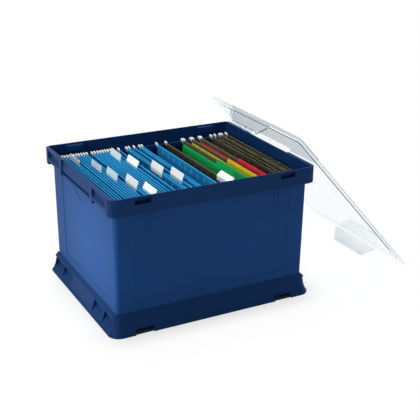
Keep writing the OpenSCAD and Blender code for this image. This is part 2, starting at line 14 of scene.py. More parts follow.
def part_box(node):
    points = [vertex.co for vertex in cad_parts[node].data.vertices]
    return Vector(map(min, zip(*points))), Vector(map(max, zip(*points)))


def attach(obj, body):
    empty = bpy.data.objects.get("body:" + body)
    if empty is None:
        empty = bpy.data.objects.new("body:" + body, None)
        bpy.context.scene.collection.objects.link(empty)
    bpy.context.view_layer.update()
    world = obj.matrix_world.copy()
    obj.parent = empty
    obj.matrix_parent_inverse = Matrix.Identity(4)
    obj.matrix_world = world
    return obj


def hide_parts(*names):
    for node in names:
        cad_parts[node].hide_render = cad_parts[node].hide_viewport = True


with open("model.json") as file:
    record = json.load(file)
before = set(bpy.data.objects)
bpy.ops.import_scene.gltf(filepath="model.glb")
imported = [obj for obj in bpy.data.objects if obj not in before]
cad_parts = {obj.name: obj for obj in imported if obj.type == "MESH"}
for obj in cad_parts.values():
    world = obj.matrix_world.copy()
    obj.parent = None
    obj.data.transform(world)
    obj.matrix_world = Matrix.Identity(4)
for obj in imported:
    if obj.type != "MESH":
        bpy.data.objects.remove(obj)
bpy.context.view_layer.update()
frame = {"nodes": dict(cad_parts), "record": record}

bl_info = {
    "name": "Portable file box",
    "version": (1, 0, 0),
    "blender": (4, 5, 0),
    "location": "View3D > Sidebar > File Box",
    "description": "Dresses a file box with its moulded tub, hanging files and clear lid",
    "category": "Add Mesh",
}

MM = 0.001
CARD_SLOTS = {"blue": "blue_card", "olive": "olive_card", "green": "green_card",
              "yellow": "yellow_card", "red": "red_card"}

# Copies of the moulded parts: what is merged, and which edges are rounded or kept sharp
MERGE_REACH = 0.02 * MM
SLIVER_REACH = 0.01 * MM
FLAT_TURN = math.radians(0.5)
QUAD_TURN = math.radians(60)
EASED_TURN = math.radians(30)
SHARP_TURN = math.radians(50)
SHEET_TURN = math.radians(35)  # sheets stay sharp over this angle
ROD_EDGE = 0.25 * MM

# A hanging folder's card
HEM_REACH = MM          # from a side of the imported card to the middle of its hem
HEM_RISE = 0.1 * MM     # the hem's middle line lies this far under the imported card's top
HEM_DROP = 0.0068       # height of the turned-in end
HEM_CLOSE = 0.86        # share of that height at which the outer side leaves the hem
HEM_GAP = 0.0004
SLOT_DROP = 0.0075      # from the hem's top to a slot's top
SIDE_DROP = 0.04        # from the hem's top to the first row of the plain side
FOLD_LIFT = 0.3 * MM
FOLD_CLEAR = 0.004
FOLD_TURN = (1.08, 1.92)  # half turns at which the fold's arc starts and ends
OPEN_WIDTH = 0.014      # a card wider than this hangs open
OPEN_FOLD, CLOSED_FOLD = 0.0042, 0.0018
LONG_WAVE = (2.2, 0.6)  # half waves across the width, and their share of the bow
SHORT_WAVE = (5, 0.25)
HEM_ROWS, SIDE_ROWS, FOLD_ROWS, WIDTH_STEPS = 9, 9, 7, 24
SLOT_SPACING = 1.5      # even steps keep this many slot reaches away from a slot

# An inner folder: the heights are measured down from the top of its raised tab
BACK_DROP = 0.012
FRONT_DROP = 0.015
LEAF_SPAN = 1.6 * MM    # thickness of the folded pair
CARD_HALF = 0.25 * MM
LEAF_PITCH = 1.1 * MM   # between the middles of the two leaves
TAB_SLOPE = 0.006       # width over which the tab rises
CORNER_WIDTH, CORNER_DROP = 0.005, 0.004
LEAF_LIFT = 0.6 * MM
LEAF_ROWS, LEAF_STEPS, TURN_ROWS = 12, 120, 5
# Where each folder's tab ends, as a share of half the width from the middle
TAB_SHARES = (("green", -0.06), ("yellow", -0.11), ("red", -0.15))

# A label tab
TAB_LEANS = (2, 3, 11, 19, 27, 11, 27, 19, 19, 50)  # degrees, by tab number
TAB_BEND = 2 * MM
TAB_CORNER = 1.5 * MM
TAB_FOOT_ROWS, TAB_BEND_ROWS, TAB_FACE_ROWS, TAB_STEPS = 4, 6, 12, 17

# How far a dyed card's cut edge, and the painted light around its slots, fade towards white
CARD_FADES = {"blue": 0.5, "olive": 0.1, "green": 0.15, "yellow": 0.15, "red": 0.15}

# The stage
SENSOR = 36
MIDDLE = (0.08, 0, 0.15)
LAMPS = (  # name, place, what it looks at, size and beam
    ("key", (-1.9, -0.3, 1.0), MIDDLE, 0.9, math.pi),
    ("side", (-1.1, -0.12, 0.16), (-0.22, -0.04, 0.14), 0.2, math.radians(30)),
    ("fill", (0.2, -2.2, 0.9), MIDDLE, 1.2, math.pi),
    ("top", (0.1, 0.5, 2.0), MIDDLE, 1.2, math.pi))
FOOT_CORNER = 0.03      # corner radius of the tub's footprint on the floor
# The floor under the tub gets painted shade: its colour is darkened within the footprint
FOOT_EDGE = -0.004      # the floor is dark from here inwards
FOOT_SHADE = 0.1        # and has this share of its colour there
SHADOW_REACH = 0.05     # the near shadow fades over this distance
SHADOW_WHITE = (0.6, 0.93)  # share of plain white at the foot and past the near shadow
FAR_REACH = (0.2, 0.7)  # the rest of the white comes in between these distances


def colour_property(name, description, default):
    """A colour setting, kept as linear red, green, blue and alpha."""
    return FloatVectorProperty(
        name=name, description=description, default=(*default, 1.0), subtype="COLOR", size=4,
        min=0, max=1)


def length_property(name, description, default):
    """A length setting in metres."""
    return FloatProperty(
        name=name, description=description, default=default, min=0, unit="LENGTH", precision=5)


def power_property(name, description, default):
    """A lamp's power in watts."""
    return FloatProperty(name=name, description=description, default=default, min=0, unit="POWER")


def angle_property(name, description, degrees):
    """An angle setting, given in degrees."""
    return FloatProperty(
        name=name, description=description, default=math.radians(degrees), subtype="ANGLE")


class TubSettings(bpy.types.PropertyGroup):
    """Finish of the moulded tub"""
    colour: colour_property("Colour", "Navy of the moulded tub", (0.0075, 0.046, 0.165))
    edge: length_property(
        "Edge radius", "Rounding left by the mould along the tub's edges", 0.00035)
    grain: length_property("Grain", "Width of one fleck of the moulded surface", 0.0009)
    grain_depth: length_property("Grain depth", "Depth of the moulded grain", 0.00003)
    # The rim and the base get painted shade: below the base top and above the rim underside the
    # tub's colour is darkened by the share below
    foot_top: length_property("Base top", "Height up to which the base is polished", 0.044)
    rim_under: length_property("Rim underside", "Height from which the rim is polished", 0.2515)
    painted_shade: FloatProperty(
        name="Painted shade", description="Tone of the polished rim and base", default=0.62)


class LidSettings(bpy.types.PropertyGroup):
    """Finish of the clear lid and its latch flaps"""
    colour: colour_property("Colour", "Tint of the clear plastic", (0.905, 0.948, 0.972))
    flap_colour: colour_property(
        "Frosted flap", "Tint of the frosted latch flap", (0.87, 0.89, 0.905))
    edge: length_property("Edge radius", "Rounding along the lid's edges", 0.00012)
    ior: FloatProperty(
        name="Refraction", description="How strongly the clear plastic bends light", default=1.16)
    flow: length_property("Flow marks", "Width of the faint waves left by the mould's flow", 0.03)


class FileSettings(bpy.types.PropertyGroup):
    """Cards, rods and tabs of the hanging files"""
    blue: colour_property("Blue card", "Card of the blue files", (0.008, 0.26, 0.54))
    olive: colour_property("Olive card", "Card of the olive files", (0.056, 0.051, 0.027))
    green: colour_property("Green card", "Card of the green inner folder", (0.008, 0.42, 0.105))
    yellow: colour_property("Yellow card", "Card of the yellow inner folder", (0.78, 0.7, 0.03))
    red: colour_property("Red card", "Card of the red inner folder", (0.72, 0.03, 0.055))
    white: colour_property("White plastic", "Rods and their end hooks", (0.8, 0.8, 0.78))
    label: colour_property("Label", "Paper label inside a tab", (0.86, 0.88, 0.84))
    thickness: length_property("Card thickness", "Thickness of a folder's card", 0.0005)
    hem_radius: length_property("Hem radius", "Turn of the card over its rod", 0.00082)
    bow: length_property("Bow", "How far a card's sides bow in and out", 0.0006)
    slot_pitch: length_property("Slot pitch", "Distance between the card's tab slots", 0.028)
    slot_width: length_property("Slot width", "Width of a tab slot", 0.0016)
    slot_height: length_property("Slot height", "Height of a tab slot", 0.008)
    # The band of painted light around each slot, in the card's pale edge colour
    slot_painted_light_width: length_property(
        "Slot border", "Width of the pale band pressed around a slot", 0.0009)
    slot_count: IntProperty(name="Slots", description="Tab slots along one hem", default=10, min=1)
    slot_shift: length_property(
        "Slot shift", "How far the row of slots lies in front of the card's middle", 0.004)
    tab_height: length_property("Tab height", "Length of a label tab's leaning face", 0.013)
    tab_thickness: length_property(
        "Tab thickness", "Thickness of a label tab with its paper", 0.0006)


class StageSettings(bpy.types.PropertyGroup):
    """Camera, lamps and floor"""
    place: FloatVectorProperty(
        name="Camera place", description="Where the camera stands", size=3, subtype="TRANSLATION",
        unit="LENGTH", default=(-0.7844, -1.5979, 0.8771))
    azimuth: angle_property("Azimuth", "Turn of the view from +Y towards +X", 28.42)
    elevation: angle_property("Elevation", "How far the view looks down", 21.79)
    roll: angle_property("Roll", "Tilt of the camera's right side upwards", 0.81)
    lens: FloatProperty(name="Lens", description="Focal length", default=77.18, unit="CAMERA")
    floor_size: length_property("Floor", "Side of the square floor", 12.0)
    floor_colour: colour_property("Floor colour", "Pale floor", (0.93, 0.93, 0.93))
    key_power: power_property("Key lamp", "Power of the lamp on the left", 17.0)
    side_power: power_property("Side lamp", "Power of the narrow lamp low on the left", 0.3)
    fill_power: power_property("Fill lamp", "Power of the lamp at the front", 2.2)
    top_power: power_property("Top lamp", "Power of the lamp above", 48.0)
    ambient: FloatProperty(name="Ambient", description="Strength of the room's light", default=0.3)


class FileBoxSettings(bpy.types.PropertyGroup):
    """All settings of the file box"""
    tub: PointerProperty(type=TubSettings)
    lid: PointerProperty(type=LidSettings)
    files: PointerProperty(type=FileSettings)
    stage: PointerProperty(type=StageSettings)


# ---- Meshes ----

def grid_quads(rows, columns, keep=None):
    """Quads of a grid of points stored row by row; keep marks the cells that have a face."""
    cell = np.arange((rows - 1) * (columns - 1))
    corner = cell // (columns - 1) * columns + cell % (columns - 1)
    quads = np.stack([corner, corner + 1, corner + columns + 1, corner + columns], axis=1)
    return quads if keep is None else quads[keep.ravel()]


def mesh_piece(name, points, quads):
    """A mesh object from an (n, 3) array of points and an (m, 4) array of quads."""
    mesh = bpy.data.meshes.new(name)
    mesh.from_pydata(points.reshape(-1, 3).tolist(), [], quads.tolist())
    mesh.update()
    piece = bpy.data.objects.new(name, mesh)
    bpy.context.scene.collection.objects.link(piece)
    return piece


def apply_modifiers(piece):
    """Puts the modifiers' result into the mesh."""
    graph = bpy.context.evaluated_depsgraph_get()
    mesh = bpy.data.meshes.new_from_object(piece.evaluated_get(graph))
    piece.modifiers.clear()
    piece.data = mesh


def settle(piece, angle=SHEET_TURN):
    """Applies the modifiers, then smooths the surface except across edges over the angle."""
    apply_modifiers(piece)
    piece.data.shade_smooth()
    piece.data.set_sharp_from_angle(angle=angle)
    return piece


def thicken(piece, thickness):
    """Gives a sheet its thickness, half on each side, with its cut edges in the second slot."""
    wall = piece.modifiers.new("Thickness", "SOLIDIFY")
    wall.thickness = thickness
    wall.offset = 0
    wall.material_offset_rim = 1
    return piece


def eased_copy(node, name, radius):
    """A copy of a part with its sharp edges rounded: its triangles are joined into quads where
    they lie flat, and every edge that turns by more than the eased turn gets the radius. The
    normals follow the large faces, so that the flat ones stay flat next to rounded edges."""
    mesh = frame["nodes"][node].data.copy()
    solid = bmesh.new()
    solid.from_mesh(mesh)
    bmesh.ops.remove_doubles(solid, verts=solid.verts, dist=MERGE_REACH)
    bmesh.ops.dissolve_degenerate(solid, dist=SLIVER_REACH, edges=solid.edges)
    bmesh.ops.join_triangles(
        solid, faces=solid.faces, angle_face_threshold=FLAT_TURN, angle_shape_threshold=QUAD_TURN)
    solid.to_mesh(mesh)
    solid.free()
    mesh.materials.clear()
    piece = bpy.data.objects.new(name, mesh)
    bpy.context.scene.collection.objects.link(piece)
    bevel = piece.modifiers.new("Edges", "BEVEL")
    bevel.width = radius
    bevel.segments = 2
    bevel.limit_method = "ANGLE"
    bevel.angle_limit = EASED_TURN
    bevel.use_clamp_overlap = False
    bevel.loop_slide = False
    settle(piece, SHARP_TURN)
    normals = piece.modifiers.new("Flat faces", "WEIGHTED_NORMAL")
    normals.keep_sharp = True
    apply_modifiers(piece)
    return piece


def place(piece, body, slot, materials, *nodes):
    """Gives a piece its materials, hangs it on the body that it rides on and hides the parts that
    it stands for.
    """
    for material in materials:
        piece.data.materials.append(material)
    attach(piece, body)
    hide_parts(*nodes)


# ---- Shader node groups and materials ----

def new_group(name, inputs, outputs):
    """A shader node group with named sockets, given as (name, type, default)."""
    group = bpy.data.node_groups.new(name, "ShaderNodeTree")
    for label, kind, default in inputs:
        group.interface.new_socket(label, in_out="INPUT", socket_type=kind).default_value = default
    for label, kind in outputs:
        group.interface.new_socket(label, in_out="OUTPUT", socket_type=kind)
    return group, group.nodes.new("NodeGroupInput"), group.nodes.new("NodeGroupOutput")


def feed(tree, socket, value):
    """Gives a socket its value: a link from another socket, or a plain number or colour."""
    if isinstance(value, bpy.types.NodeSocket):
        tree.links.new(value, socket)
    else:
        socket.default_value = value


def math_node(tree, operation, *values):
    """A Math node; each value is a socket or a number."""
    node = tree.nodes.new("ShaderNodeMath")
    node.operation = operation
    for socket, value in zip(node.inputs, values):
        feed(tree, socket, value)
    return node.outputs[0]


def object_axes(tree):
    """X, Y and Z in object coordinates."""
    where = tree.nodes.new("ShaderNodeTexCoord")
    axes = tree.nodes.new("ShaderNodeSeparateXYZ")
    tree.links.new(where.outputs["Object"], axes.inputs["Vector"])
    return axes.outputs


def noise_node(tree, scale, detail, roughness, stretch=(1, 1, 1)):
    """Noise in object coordinates, stretched along the axes; scale is a socket or a number."""
    where = tree.nodes.new("ShaderNodeTexCoord")
    mapping = tree.nodes.new("ShaderNodeMapping")
    mapping.inputs["Scale"].default_value = stretch
    noise = tree.nodes.new("ShaderNodeTexNoise")
    noise.inputs["Detail"].default_value = detail
    noise.inputs["Roughness"].default_value = roughness
    tree.links.new(where.outputs["Object"], mapping.inputs["Vector"])
    tree.links.new(mapping.outputs["Vector"], noise.inputs["Vector"])
    feed(tree, noise.inputs["Scale"], scale)
    return noise.outputs["Fac"]


def range_node(tree, value, low, high, to_low, to_high):
    """Maps a value from one range to another, held at both ends."""
    node = tree.nodes.new("ShaderNodeMapRange")
    labels = ("Value", "From Min", "From Max", "To Min", "To Max")
    for label, number in zip(labels, (value, low, high, to_low, to_high)):
        feed(tree, node.inputs[label], number)
    return node.outputs["Result"]


def tone_node(tree, colour, factor):
    """A colour made lighter or darker by a factor."""
    node = tree.nodes.new("ShaderNodeVectorMath")
    node.operation = "SCALE"
    tree.links.new(colour, node.inputs[0])
    tree.links.new(factor, node.inputs["Scale"])
    return node.outputs[0]


def mix_colour(tree, factor, first, second):
    """Two colours mixed by a factor; each is a socket or a colour."""
    node = tree.nodes.new("ShaderNodeMix")
    node.data_type = "RGBA"
    for index, value in ((0, factor), (6, first), (7, second)):  # 6 and 7 take the colours
        feed(tree, node.inputs[index], value)
    return node.outputs[2]


def moulded_group():
    """Moulded plastic: fine grain, slow drift of tone and long faint scuffs."""
    group, given, made = new_group(
        "Moulded surface",
        [("Colour", "NodeSocketColor", (0.5, 0.5, 0.5, 1)),
         ("Grain Scale", "NodeSocketFloat", 1000.0), ("Scuff", "NodeSocketFloat", 0.3),
         ("Smooth", "NodeSocketFloat", 0.3), ("Rough", "NodeSocketFloat", 0.45)],
        [("Colour", "NodeSocketColor"), ("Roughness", "NodeSocketFloat"),
         ("Height", "NodeSocketFloat")])
    grain = noise_node(group, given.outputs["Grain Scale"], 2.0, 0.5)
    drift = noise_node(group, 7.0, 3.0, 0.5)
    scuffs = noise_node(group, 60.0, 5.0, 0.65, (1, 1, 0.12))
    marks = range_node(group, scuffs, 0.6, 0.78, 0.0, 1.0)
    marks = math_node(group, "MULTIPLY", marks, given.outputs["Scuff"])
    colour = given.outputs["Colour"]
    tone = tone_node(group, colour, range_node(group, drift, 0.3, 0.7, 0.93, 1.07))
    pale = tone_node(group, colour, range_node(group, drift, 0.0, 1.0, 1.5, 1.7))
    rough = range_node(group, drift, 0.3, 0.7, given.outputs["Smooth"], given.outputs["Rough"])
    rough = math_node(group, "ADD", rough, math_node(group, "MULTIPLY", marks, 0.25))
    feed(group, made.inputs["Colour"], mix_colour(group, marks, tone, pale))
    feed(group, made.inputs["Roughness"], rough)
    feed(group, made.inputs["Height"], grain)
    return group


def card_group():
    """Dyed card: short fibres, mottled dye and a soft roughness."""
    group, given, made = new_group(
        "Card fibre",
        [("Colour", "NodeSocketColor", (0.5, 0.5, 0.5, 1)),
         ("Fibre Scale", "NodeSocketFloat", 700.0), ("Mottle", "NodeSocketFloat", 0.12)],
        [("Colour", "NodeSocketColor"), ("Roughness", "NodeSocketFloat"),
         ("Height", "NodeSocketFloat")])
    along = noise_node(group, given.outputs["Fibre Scale"], 4.0, 0.6, (1, 0.22, 1))
    across = noise_node(group, given.outputs["Fibre Scale"], 4.0, 0.6, (1, 1, 0.22))
    fibres = math_node(group, "MULTIPLY", math_node(group, "ADD", along, across), 0.5)
    cloud = noise_node(group, 22.0, 3.0, 0.55)
    fleck = math_node(group, "SUBTRACT", fibres, 0.5)
    both = math_node(group, "ADD", fleck, math_node(group, "SUBTRACT", cloud, 0.5))
    mottle = math_node(group, "MULTIPLY", both, given.outputs["Mottle"])
    tone = math_node(group, "ADD", mottle, 1.0)
    feed(group, made.inputs["Colour"], tone_node(group, given.outputs["Colour"], tone))
    feed(group, made.inputs["Roughness"], range_node(group, fibres, 0.3, 0.7, 0.52, 0.68))
    feed(group, made.inputs["Height"], fibres)
    return group


def haze_group():
    """Clear plastic: a faint haze in streaks, and slow waves left by the mould's flow."""
    group, given, made = new_group(
        "Clear flow",
        [("Flow Scale", "NodeSocketFloat", 30.0), ("Haze", "NodeSocketFloat", 0.05)],
        [("Roughness", "NodeSocketFloat"), ("Height", "NodeSocketFloat")])
    waves = noise_node(group, given.outputs["Flow Scale"], 2.0, 0.5)
    streaks = noise_node(group, 90.0, 4.0, 0.6, (1, 0.2, 1))
    streaks = range_node(group, streaks, 0.35, 0.75, 0.4, 2.0)
    rough = math_node(group, "MULTIPLY", streaks, given.outputs["Haze"])
    feed(group, made.inputs["Roughness"], rough)
    feed(group, made.inputs["Height"], waves)
    return group


def new_material(name, group, values, bump, distance, colour=None, **shader_values):
    """A material whose Principled shader takes what the group puts out: its colour, if it has
    one, its roughness, and its height through a Bump node. Plain values stay on the sockets."""
    material = bpy.data.materials.new(name)
    material.use_nodes = True
    tree = material.node_tree
    shader = tree.nodes["Principled BSDF"]
    effect = tree.nodes.new("ShaderNodeGroup")
    effect.node_tree = group
    for label, value in values.items():
        feed(tree, effect.inputs[label], value)
    if "Colour" in effect.outputs:
        tree.links.new(effect.outputs["Colour"], shader.inputs["Base Color"])
    else:
        shader.inputs["Base Color"].default_value = colour
    tree.links.new(effect.outputs["Roughness"], shader.inputs["Roughness"])
    relief = tree.nodes.new("ShaderNodeBump")
    relief.inputs["Strength"].default_value = bump
    relief.inputs["Distance"].default_value = distance
    tree.links.new(effect.outputs["Height"], relief.inputs["Height"])
    tree.links.new(relief.outputs["Normal"], shader.inputs["Normal"])
    for label, value in shader_values.items():
        shader.inputs[label.replace("_", " ")].default_value = value
    return material


def shared_group(name, build):
    """A node group that is built once and then found by its name."""
    return bpy.data.node_groups.get(name) or build()


def tub_material(settings):
    """Navy moulded plastic with a satin grain; the rim and the base have painted shade: their
    colour is darkened, so they look darker than the rest of the tub."""
    material = new_material(
        "Navy moulded plastic", shared_group("Moulded surface", moulded_group),
        {"Grain Scale": 1 / settings.grain, "Scuff": 0.16, "Smooth": 0.42, "Rough": 0.5},
        bump=0.35, distance=settings.grain_depth, IOR=1.5, Specular_IOR_Level=0.05)
    tree = material.node_tree
    height = object_axes(tree)["Z"]
    above_foot = math_node(tree, "GREATER_THAN", height, settings.foot_top)
    below_rim = math_node(tree, "LESS_THAN", height, settings.rim_under)
    unshaded_walls = math_node(tree, "MULTIPLY", above_foot, below_rim)
    # Painted shade: the rim and the base take the tub's colour darkened by this share
    shade_painted = [channel * settings.painted_shade for channel in settings.colour[:3]] + [1.0]
    surface = next(node for node in tree.nodes if node.bl_idname == "ShaderNodeGroup")
    feed(tree, surface.inputs["Colour"], mix_colour(tree, unshaded_walls, shade_painted, settings.colour))
    return material


def clear_material(settings):
    """Clear plastic of the lid and the upper flap."""
    return new_material(
        "Clear plastic", shared_group("Clear flow", haze_group),
        {"Flow Scale": 1 / settings.flow, "Haze": 0.03}, colour=settings.colour,
        bump=0.05, distance=0.001, IOR=settings.ior, Transmission_Weight=1.0)


def frosted_material(settings):
    """Frosted plastic of the lower flap, which shows pale grey against the floor."""
    return new_material(
        "Frosted plastic", shared_group("Moulded surface", moulded_group),
        {"Colour": settings.flap_colour, "Grain Scale": 900.0, "Scuff": 0.1, "Smooth": 0.28,
         "Rough": 0.4},
        bump=0.2, distance=0.00003, IOR=settings.ior, Transmission_Weight=0.6)


def card_materials(colour_name, settings):
    """The face and the cut edge of a dyed card; the edge is faded towards white, and the bands of
    painted light around the slots use it too.
    """
    group = shared_group("Card fibre", card_group)
    name = colour_name.capitalize()
    colour = getattr(settings, colour_name)
    fade = CARD_FADES[colour_name]
    pale = [channel + (1 - channel) * fade for channel in colour[:3]] + [1.0]
    face = new_material(
        name + " card", group, {"Colour": colour, "Fibre Scale": 700.0, "Mottle": 0.3},
        bump=0.25, distance=0.00006, IOR=1.45, Specular_IOR_Level=0.25)
    edge = new_material(
        name + " card edge", group, {"Colour": pale, "Fibre Scale": 1200.0, "Mottle": 0.4},
        bump=0.3, distance=0.00005, IOR=1.45)
    return [face, edge]


def white_material(name, colour, smooth, rough):
    """White moulded plastic of the rods and tabs."""
    return new_material(
        name, shared_group("Moulded surface", moulded_group),
        {"Colour": colour, "Grain Scale": 1500.0, "Scuff": 0.05, "Smooth": smooth, "Rough": rough},
        bump=0.15, distance=0.00002, IOR=1.46)


# ---- Hanging files ----

def arc(centre, radius, start, end, steps):
    """Points of an arc in the X-Z plane, from one angle to another, in radians."""
    angle = np.linspace(start, end, steps)
    x = centre[0] + radius * np.cos(angle)
    z = centre[1] + radius * np.sin(angle)
    return np.stack([x, z], axis=1)


def sheet_points(path, stations):
    """A path in the X-Z plane carried along Y: a grid of points, one row for each point of the
    path and one column for each station."""
    x = np.repeat(path[:, 0][:, None], len(stations), axis=1)
    z = np.repeat(path[:, 1][:, None], len(stations), axis=1)
    y = np.repeat(stations[None, :], len(path), axis=0)
    return np.stack([x, y, z], axis=2)


def hem_path(x, top, radius, inward):
    """Card over a rod: from the turned-in end, up, over the rod in a half circle and down to
    where the hem closes. inward is +1 where the turned-in end lies towards +X."""
    start, end = (0, math.pi) if inward > 0 else (math.pi, 0)
    turn = arc((x, top - radius), radius, start, end, HEM_ROWS)
    inner, outer = x + inward * radius, x - inward * radius
    ends = np.array([[inner, top - HEM_DROP], [inner, top - HEM_DROP / 2]])
    down = np.array([[outer, top - HEM_DROP / 2], [outer, top - HEM_DROP * HEM_CLOSE]])
    return np.concatenate([ends, turn, down])


def card_path(left, right, top, fold_z, fold, settings):
    """A folder's section in the X-Z plane: a hem, the first side down to the fold, a round
    turn there, the second side up and the other hem. Also gives the rows that hold the slots,
    and how much each row may bow: a sine down each side and nothing at the hems and the fold."""
    first = hem_path(left, top, settings.hem_radius, 1)
    second = hem_path(right, top, settings.hem_radius, -1)[::-1]
    slot_top = top - SLOT_DROP
    heights = np.concatenate([
        [top - HEM_DROP - HEM_GAP, slot_top, slot_top - settings.slot_height],
        np.linspace(top - SIDE_DROP, fold_z + FOLD_CLEAR, SIDE_ROWS)])
    middle = (left + right) / 2
    share = (heights - fold_z) / (top - HEM_DROP - fold_z)
    low_a, low_b = middle - fold / 2, middle + fold / 2
    side_a = np.stack([low_a + share * (left - low_a), heights], axis=1)
    side_b = np.stack([low_b + share * (right - low_b), heights], axis=1)[::-1]
    start, end = (math.pi * turn for turn in FOLD_TURN)
    bend = arc((middle, fold_z + fold / 2), fold / 2, start, end, FOLD_ROWS)
    path = np.concatenate([first, side_a, bend, side_b, second])
    bow_a = np.sin(np.clip(share, 0, 1) * math.pi)
    sway = np.concatenate([
        np.zeros(len(first)), bow_a, np.zeros(len(bend)), bow_a[::-1], np.zeros(len(second))])
    # Each side's slots lie in the row of faces below its second point from the hem
    row_a = len(first) + 1
    row_b = len(first) + len(side_a) + len(bend) + len(side_b) - 3
    return path, sway, (row_a, row_b)


def width_stations(low, high, settings):
    """Places across a card's width: even steps, both edges of every slot and both edges of the
    band of painted light around it. Also says which cells lie in a slot and which in that band."""
    slots = (np.arange(settings.slot_count) - (settings.slot_count - 1) / 2) * settings.slot_pitch
    slots = slots + (low + high) / 2 - settings.slot_shift
    half = settings.slot_width / 2
    outer = half + settings.slot_painted_light_width
    edges = np.concatenate([slots - outer, slots - half, slots + half, slots + outer])
    even = np.linspace(low, high, WIDTH_STEPS)
    clear = np.abs(even[:, None] - slots[None, :]).min(axis=1) > SLOT_SPACING * outer
    stations = np.sort(np.concatenate([even[clear | (even == low) | (even == high)], edges]))
    centres = (stations[1:] + stations[:-1]) / 2
    reach = np.abs(centres[:, None] - slots[None, :]).min(axis=1)
    return stations, reach < half, (reach > half) & (reach < outer)


def folder_card(name, node, seed, settings):
    """One folder's card: its section carried across the width, with a slow bow of both sides,
    bow times a sine across the width times a sine down the side, and open slots."""
    low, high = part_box(node)
    left, right = low.x + HEM_REACH, high.x - HEM_REACH
    fold = OPEN_FOLD if right - left > OPEN_WIDTH else CLOSED_FOLD
    path, sway, rows = card_path(
        left, right, high.z - HEM_RISE, low.z + FOLD_LIFT, fold, settings)
    stations, in_slot, in_painted_light = width_stations(low.y, high.y, settings)
    phase = np.random.default_rng(seed).uniform(0, 2 * math.pi, 2)
    across = (stations - low.y) / (high.y - low.y)
    wave = sum(share * np.sin(across * math.pi * count + start)
               for (count, share), start in zip((LONG_WAVE, SHORT_WAVE), phase))
    points = sheet_points(path, stations)
    points[:, :, 0] += settings.bow * sway[:, None] * wave[None, :]
    keep = np.ones((len(path) - 1, len(stations) - 1), bool)
    pale = np.zeros(keep.shape, np.int32)
    for row in rows:
        keep[row, in_slot] = False
        # Painted light: the band around a slot takes the pale edge material
        pale[row, in_painted_light] = 1
    piece = mesh_piece(name, points, grid_quads(len(path), len(stations), keep))
    piece.data.polygons.foreach_set("material_index", pale.ravel()[keep.ravel()])
    return settle(thicken(piece, settings.thickness))


def leaf(base, x_at, stations, tops):
    """One leaf of an inner folder: rows from its fold to its top edge, where tops gives the
    height of the top edge at each station and x_at gives X at a height."""
    share = np.linspace(0, 1, LEAF_ROWS)[:, None]
    z = base + share * (tops[None, :] - base)
    y = np.repeat(stations[None, :], len(share), axis=0)
    return np.stack([x_at(z), y, z], axis=2)


def inner_folder(name, node, share, settings):
    """An inner folder: two leaves that lean along the file's side and meet in a round fold.
    The back leaf's top edge rises by a smooth step into the raised tab, which ends at a share
    of half the width from the middle; its other corner is a quarter of an ellipse."""
    low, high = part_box(node)
    slope = (high.x - low.x - LEAF_SPAN) / (high.z - low.z)

    def back_x(z):
        return low.x + LEAF_SPAN - CARD_HALF + slope * (z - low.z)

    def front_x(z):
        return back_x(z) - LEAF_PITCH

    stations = np.linspace(low.y, high.y, LEAF_STEPS)
    middle, half = (low.y + high.y) / 2, (high.y - low.y) / 2
    rise = np.clip((middle + share * half - stations) / TAB_SLOPE, 0, 1)
    rise = rise * rise * (3 - 2 * rise)
    from_corner = np.clip((stations - low.y) / CORNER_WIDTH, 0, 1)
    rounding = CORNER_DROP * (1 - np.sqrt(1 - (1 - from_corner) ** 2))
    back_tops = high.z - BACK_DROP + rise * BACK_DROP - rounding
    front_tops = np.full_like(stations, high.z - FRONT_DROP)
    base = low.z + LEAF_LIFT
    back = leaf(base, back_x, stations, back_tops)
    front = leaf(base, front_x, stations, front_tops)[::-1]
    turn = arc((0, 0), LEAF_PITCH / 2, math.pi, 2 * math.pi, TURN_ROWS)[1:-1]
    turn += [(back_x(base) + front_x(base)) / 2, base]
    points = np.concatenate([front, sheet_points(turn, stations), back])
    piece = mesh_piece(name, points, grid_quads(len(points), len(stations)))
    return settle(thicken(piece, settings.thickness))


def tab_sheet(name, width, path, radius, y_middle):
    """A strip bent along a path in the X-Z plane, whose top corners are rounded: the width at
    each row is the full width less the corner's circle."""
    length = np.concatenate([[0], np.cumsum(np.hypot(*np.diff(path, axis=0).T))])
    from_top = length[-1] - length
    cut = np.clip(1 - from_top / radius, 0, 1)
    half = width / 2 - radius * (1 - np.sqrt(np.clip(1 - cut ** 2, 0, 1)))
    points = sheet_points(path, np.linspace(-1, 1, TAB_STEPS))
    points[:, :, 1] = y_middle + half[:, None] * points[:, :, 1]
    return mesh_piece(name, points, grid_quads(len(path), TAB_STEPS))


def label_tab(node, lean, settings):
    """A label tab: a foot that stands in the card's slots, a round bend over the hem and a
    face of the tab's height that leans away from the upright."""
    low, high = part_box(node)
    half = settings.tab_thickness / 2
    lean_x, lean_z = math.sin(lean), math.cos(lean)
    foot_x = high.x - settings.tab_height * lean_x - half * lean_z
    foot_top = high.z - settings.tab_height * lean_z - half * lean_x - MM
    foot = np.array([[foot_x, z] for z in np.linspace(low.z, foot_top, TAB_FOOT_ROWS)])
    centre = (foot_x + TAB_BEND, foot_top)
    bend = arc(centre, TAB_BEND, math.pi, math.pi - lean, TAB_BEND_ROWS)[1:]
    tip = np.array([high.x - half * lean_z, high.z - half * lean_x])
    face = bend[-1] + np.linspace(0, 1, TAB_FACE_ROWS)[1:, None] * (tip - bend[-1])
    path = np.concatenate([foot, bend, face])
    y_middle = (low.y + high.y) / 2
    piece = tab_sheet(node + "_face", high.y - low.y, path, TAB_CORNER, y_middle)
    return settle(thicken(piece, settings.tab_thickness))


# ---- Stage ----

